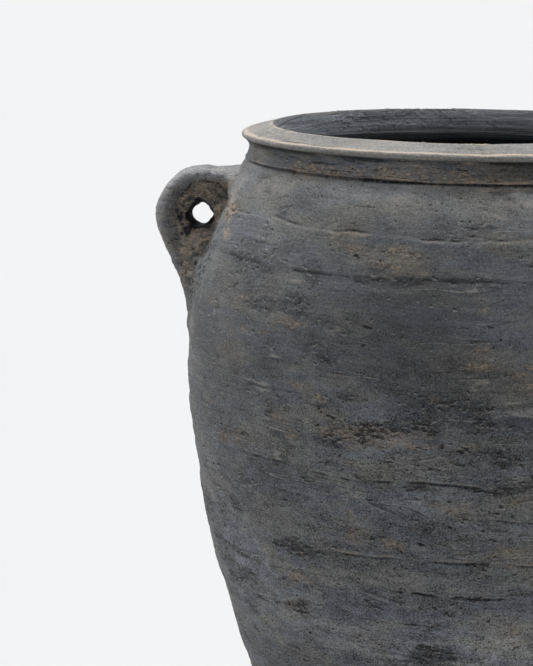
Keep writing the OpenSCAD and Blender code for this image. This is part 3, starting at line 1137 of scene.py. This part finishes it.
def clay(name, cool, warm, dusty, crumb_wide, rugged):
    """Smoke-fired clay: cool and warm washes, wiped streaks, fine ridges with painted highlight and
    shadow lines, smoke-black grit with painted glints, and ochre grit.
    """
    mat = bpy.data.materials.new(name)
    mat.use_nodes = True
    n = Nodes(mat.node_tree)
    bsdf = mat.node_tree.nodes["Principled BSDF"]
    coords = n.make("TexCoord").outputs["Object"]
    sway = n.times_add(n.noise(coords, 120, 70, 2.0, 0.5), 0.036, -0.018)
    shift = n.make("CombineXYZ", Z=sway).outputs[0]
    drawn = n.make("VectorMath", {"operation": "ADD"}, i0=coords, i1=shift).outputs[0]
    wash = n.noise(coords, 75, 28, 5.0, 0.6)
    tint = n.noise(coords, 60, 22, 4.0, 0.6)
    mottle = n.noise(coords, 15, 8, 6.0, 0.72)
    streak = n.noise(drawn, 45, 2.6, 5.0, 0.65)
    strand = n.noise(drawn, 13, 0.8, 3.0, 0.65)
    fleck = n.noise(coords, 2.6, 1.7, 4.0, 0.75)
    crumb = n.noise(drawn, crumb_wide, 1.1, 5.0, 0.78)
    grain = n.noise(coords, 1.1, 1.0, 2.0, 0.7)
    height = n.make("SeparateXYZ", Vector=coords).outputs["Z"]
    coarse = n.times_add(mottle, 0.12, height)
    coarse = n.times(n.ramp(coarse, 0.50, 0.37), rugged)

    colour = n.mix(n.ramp(tint, 0.41, 0.60), cool, warm)
    detail = n.about(0.0, (mottle, 1.6), (streak, 0.7), (strand, 0.45), (fleck, 1.15), (grain, 2.7))
    detail = n.times(detail, n.times_add(coarse, 0.62, 0.85))
    light = n.plus(n.about(1.0, (wash, 1.2)), detail)
    light = n.times(light, n.plus(n.mark("tone"), 1.0))
    colour = n.scale(colour, light)

    # smoke stains, together with painted shade in the lugs' holes and beside the seams' ledges
    soot_and_shade = n.about(n.mark("stain_and_shade"), (mottle, 1.6), (streak, 0.9), (strand, 0.6))
    soot_and_shade = n.times_add(coarse, 0.12, soot_and_shade)
    colour = n.mix(n.ramp(soot_and_shade, 0.34, 0.96, 0.0, 0.60), colour, STAIN_AND_SHADE_COLOUR)
    dust = n.about(n.mark("dust"), (mottle, -1.5), (crumb, 0.8), (strand, 0.5))
    colour = n.mix(n.ramp(dust, 0.10, 1.20, 0.0, 0.26 * dusty), colour, DUST)
    ochre = n.ramp(n.times_add(dust, 0.10, crumb), 0.62, 0.68)
    ochre = n.times(ochre, n.ramp(dust, 0.15, 1.3, 0.04, 0.62 * dusty))
    colour = n.mix(ochre, colour, OCHRE)

    long = n.noise(drawn, 200, 17, 2.0, 0.5)
    short = n.noise(drawn, 55, 5.0, 2.0, 0.5)
    shown = n.ramp(n.about(n.noise(coords, 30, 12, 4.0, 0.65), (coarse, 0.06)), 0.46, 0.58)
    hidden = n.ramp(n.noise(coords, 9, 6, 3.0, 0.6), 0.42, 0.58)
    # pale and dark lines along faint ledges in the bump: painted highlight on one side and painted shadow
    # on the other
    strong = n.band(long, 0.500, 0.009)
    faint = n.times(n.band(short, 0.560, 0.010), 0.35)
    bright = n.most(strong, faint)
    bright = n.times(n.times(bright, shown), hidden)
    strong = n.band(long, 0.518, 0.010)
    faint = n.times(n.band(short, 0.578, 0.010), 0.7)
    dim = n.most(strong, faint)
    dim = n.times(dim, shown)
    ledge = n.ramp(long, 0.485, 0.515)
    colour = n.mix(n.times(bright, 0.42), colour, PALE)
    colour = n.mix(n.times(dim, 0.55), colour, STAIN_AND_SHADE_COLOUR)

    flock = n.ramp(n.noise(coords, 17, 8, 5.0, 0.68), 0.54, 0.68)
    flock = n.times(flock, n.times_add(coarse, 0.6, 0.4))
    crumbling = n.times(n.ramp(soot_and_shade, 0.25, 1.2), n.times_add(coarse, 0.075, 0.06))
    flock = n.times_add(flock, 0.11, crumbling)
    nick = n.noise(coords, 5.0, 2.6, 6.0, 0.67)
    # painted highlight: a pale glint 1.2 mm below each dark nick, where its lower lip would catch light
    # from above
    above = n.make("VectorMath", {"operation": "ADD"}, i0=coords, i1=(0.0, 0.0, 0.0012)).outputs[0]
    lip_of_nick = n.noise(above, 5.0, 2.6, 6.0, 0.67)
    nicks = n.ramp(n.plus(flock, nick), 0.635, 0.648)
    painted_glint = n.ramp(n.plus(flock, lip_of_nick), 0.630, 0.648)
    specks = n.ramp(n.plus(flock, fleck), 0.645, 0.660)
    specks = n.most(n.times(specks, 0.75), nicks)
    colour = n.mix(n.times(painted_glint, 0.38), colour, PALE)
    colour = n.mix(n.times(specks, 0.88), colour, SOOT_AND_SHADE_COLOUR)
    chips = n.ramp(n.times_add(soot_and_shade, 0.04, n.noise(coords, 1.8, 1.2, 2.0, 0.5)), 0.715, 0.750)
    colour = n.mix(n.times(chips, 0.55), colour, PALE)

    # ochre of scuffed pale marks, which also carries the painted highlight lines of seams, scratches, the
    # lip, the groove and the ridges beside the lugs
    rubbed_and_lit = n.ramp(n.about(n.mark("rub"), (crumb, 1.3), (streak, 1.0)), 0.30, 0.90)
    colour = n.mix(n.times(rubbed_and_lit, 0.42), colour, OCHRE)
    raised = n.ramp(n.mark("hollow"), 0.15, 1.0, 0.0, 0.25)
    colour = n.mix(raised, colour, PALE)
    sunk = n.ramp(n.mark("hollow"), -0.1, -0.9, 0.0, 0.5)
    colour = n.mix(sunk, colour, STAIN_AND_SHADE_COLOUR)
    return mat, n, bsdf, colour, dict(
        mottle=mottle, streak=streak, strand=strand, fleck=fleck, grain=grain, specks=specks,
        soot_and_shade=soot_and_shade, dust=dust, crumb=crumb, coords=coords, wash=wash, ledge=ledge, dim=dim,
    )


def finish_clay(mat, n, bsdf, colour, w):
    """The last layers: pale clay and painted light on the lip, dark lines of smoke black and painted
    shade, painted light and painted shade in the throat, gloss and fine relief. w holds the noises.
    """
    # pale clay on the lip, which also stands for painted light on its lit outer face
    wear_and_light = n.about(n.mark("pale"), (w["streak"], 0.7), (w["crumb"], 0.9), (w["wash"], 0.5))
    worn_and_lit_lightness = n.about(1.0, (w["grain"], 1.8), (w["crumb"], 1.2), (w["streak"], 1.3), (w["wash"], 0.9))
    worn_and_lit_clay = n.scale(WORN_AND_LIT_COLOUR, worn_and_lit_lightness)
    colour = n.mix(n.ramp(wear_and_light, 0.35, 0.85, 0.0, 0.94), colour, worn_and_lit_clay)
    # painted highlight lines on the lip's edges in a tan colour, with the warm blush on its top
    edge = n.times(n.mark("pale"), n.ramp(n.about(n.mark("rub"), (w["crumb"], 0.8)), 0.25, 0.8))
    colour = n.mix(n.times(edge, 0.60), colour, EDGE)
    # dark lines: smoke black in pits and scratches, and painted shade along seams, the groove and under
    # the lip
    soft = n.ramp(n.about(n.mark("line"), (w["fleck"], 1.2)), 0.15, 0.95, 0.0, 0.60)
    crisp = n.ramp(n.about(n.mark("line"), (w["fleck"], 2.4), (w["crumb"], 1.2)), 0.62, 0.80, 0.0, 0.94)
    colour = n.mix(n.most(soft, crisp), colour, SOOT_AND_SHADE_COLOUR)
    # painted light: the upper throat gets this bright bluish colour with streaks of painted sheen, fading
    # into painted shade lower down
    wiped = n.noise(w["coords"], 70, 2.0, 4.0, 0.6)
    sheen = n.about(1.0, (wiped, 3.6), (w["wash"], 2.0), (w["mottle"], 0.8), (w["grain"], 1.2))
    throat = n.scale(THROAT, sheen)
    inside = n.times(n.ramp(n.mark("interior_shade"), 0.0, 0.06), n.math("SUBTRACT", 1.0, n.mark("pale")))
    colour = n.mix(inside, colour, throat)
    # painted shade: the inside goes to near black with depth
    colour = n.mix(n.mark("interior_shade"), colour, SOOT_AND_SHADE_COLOUR)
    n.give(bsdf.inputs["Base Color"], colour)
    gloss = n.ramp(w["streak"], 0.3, 0.7, 0.61, 0.77)
    gloss = n.times_add(n.ramp(w["dust"], 0.2, 0.9), 0.12, gloss)
    n.give(bsdf.inputs["Roughness"], n.times_add(n.ramp(w["soot_and_shade"], 0.3, 0.9), -0.06, gloss))
    bsdf.inputs["Specular IOR Level"].default_value = 0.28

    height = n.about(0.0, (w["mottle"], 0.6), (w["streak"], 0.6), (w["fleck"], 0.8), (w["strand"], 0.4))
    height = n.times_add(w["grain"], 0.30, height)
    height = n.times_add(w["specks"], -0.40, height)
    height = n.times_add(w["dim"], -0.15, height)
    height = n.times_add(w["ledge"], 0.35, height)
    bump = n.make("Bump", Height=height, Strength=0.8, Distance=0.0012)
    n.give(bsdf.inputs["Normal"], bump.outputs["Normal"])
    return mat


# Each clay: its cool and warm wash, how dusty it is, how wide its crumbs are in mm and how rugged it
# is lower down
CLAYS = {
    "wall_clay": ((0.073, 0.0795, 0.0915), (0.095, 0.0957, 0.0925), 1.0, 2.0, 1.0),
    "shoulder_clay": ((0.085, 0.088, 0.093), (0.106, 0.105, 0.100), 0.8, 2.0, 1.0),
    "collar_clay": ((0.053, 0.058, 0.069), (0.094, 0.089, 0.080), 1.2, 3.5, 1.0),
    "rim_clay": ((0.046, 0.050, 0.058), (0.080, 0.076, 0.070), 1.0, 3.5, 1.0),
    "lug_clay": ((0.078, 0.080, 0.085), (0.100, 0.096, 0.088), 1.8, 2.0, 0.6),
    "base_clay": ((0.052, 0.056, 0.064), (0.080, 0.079, 0.075), 1.0, 2.0, 1.0),
}
MATERIALS = {name: finish_clay(*clay(name, *look)) for name, look in CLAYS.items()}
SLOT_OF = {row["node"]: row["material_slot"] for row in frame["record"]["subparts"]}
for node, piece in pieces.items():
    slot_name = SLOT_OF[node]
    piece.data.materials.append(MATERIALS[slot_name])
    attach(piece, "root")
    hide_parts(node)

# ---- floor, light and camera
FLOOR_R = 60.0
HORIZON = (0.896, 0.904, 0.913)
CEILING = 0.15


def floor():
    """A wide pale disc under the jar."""
    me = bpy.data.meshes.new("floor")
    n = 128
    turns = [2 * math.pi * k / n for k in range(n)]
    ring = [(FLOOR_R * math.cos(t), FLOOR_R * math.sin(t), 0) for t in turns]
    me.from_pydata(ring, [], [list(range(n))])
    mat = bpy.data.materials.new("floor_paper")
    mat.use_nodes = True
    bsdf = mat.node_tree.nodes["Principled BSDF"]
    bsdf.inputs["Base Color"].default_value = (0.427, 0.4295, 0.434, 1)
    bsdf.inputs["Roughness"].default_value = 0.9
    bsdf.inputs["Specular IOR Level"].default_value = 0.0
    me.materials.append(mat)
    obj = put("floor", me)


def sun(name, azimuth, elevation, strength, size, colour=(1, 1, 1)):
    """A broad soft light from a direction. Azimuth 0 comes from the camera's side, -90 from the left."""
    data = bpy.data.lights.new(name, "SUN")
    data.energy = strength
    data.angle = math.radians(size)
    data.color = colour
    a, e = math.radians(azimuth), math.radians(elevation)
    way = Vector((math.sin(a) * math.cos(e), -math.cos(a) * math.cos(e), math.sin(e)))
    put(name, data).rotation_euler = way.to_track_quat("Z", "Y").to_euler()


def world():
    """A pale horizon all round under a dim ceiling."""
    w = bpy.data.worlds.new("studio")
    w.use_nodes = True
    n = Nodes(w.node_tree)
    way = n.make("TexCoord").outputs["Generated"]
    height = n.make("SeparateXYZ", Vector=way).outputs["Z"]
    level = n.ramp(height, 0.10, 0.45, 1.0, CEILING)
    n.give(w.node_tree.nodes["Background"].inputs["Color"], n.scale(HORIZON, level))
    scene.world = w


def camera():
    """Stands in front of the jar, a little above the rim, and looks down past its left shoulder."""
    away, above = 1.365, 0.115
    yaw, pitch, roll = (math.radians(d) for d in (6.04, 10.91, 0.456))
    data = bpy.data.cameras.new("camera")
    data.sensor_fit = "VERTICAL"
    data.sensor_height = 24.0
    data.lens = 71.36577
    data.clip_end = 200
    ahead = Vector((-math.sin(yaw) * math.cos(pitch), math.cos(yaw) * math.cos(pitch), -math.sin(pitch)))
    level = Vector((math.cos(yaw), math.sin(yaw), 0))
    right = Matrix.Rotation(-roll, 3, ahead) @ level
    up = right.cross(ahead)
    turn = Matrix((right, up, -ahead)).transposed().to_4x4()
    turn.translation = Vector((0, -away, POT_H * MM + above))
    obj = put("camera", data)
    obj.matrix_world = turn
    scene.camera = obj


floor()
world()
sun("back_right", 150, 60, 2.7, 70)
sun("top", 180, 80, 2.9, 70)
sun("left", -120, 20, 2.2, 70)
camera()
scene.view_settings.view_transform = "Standard"
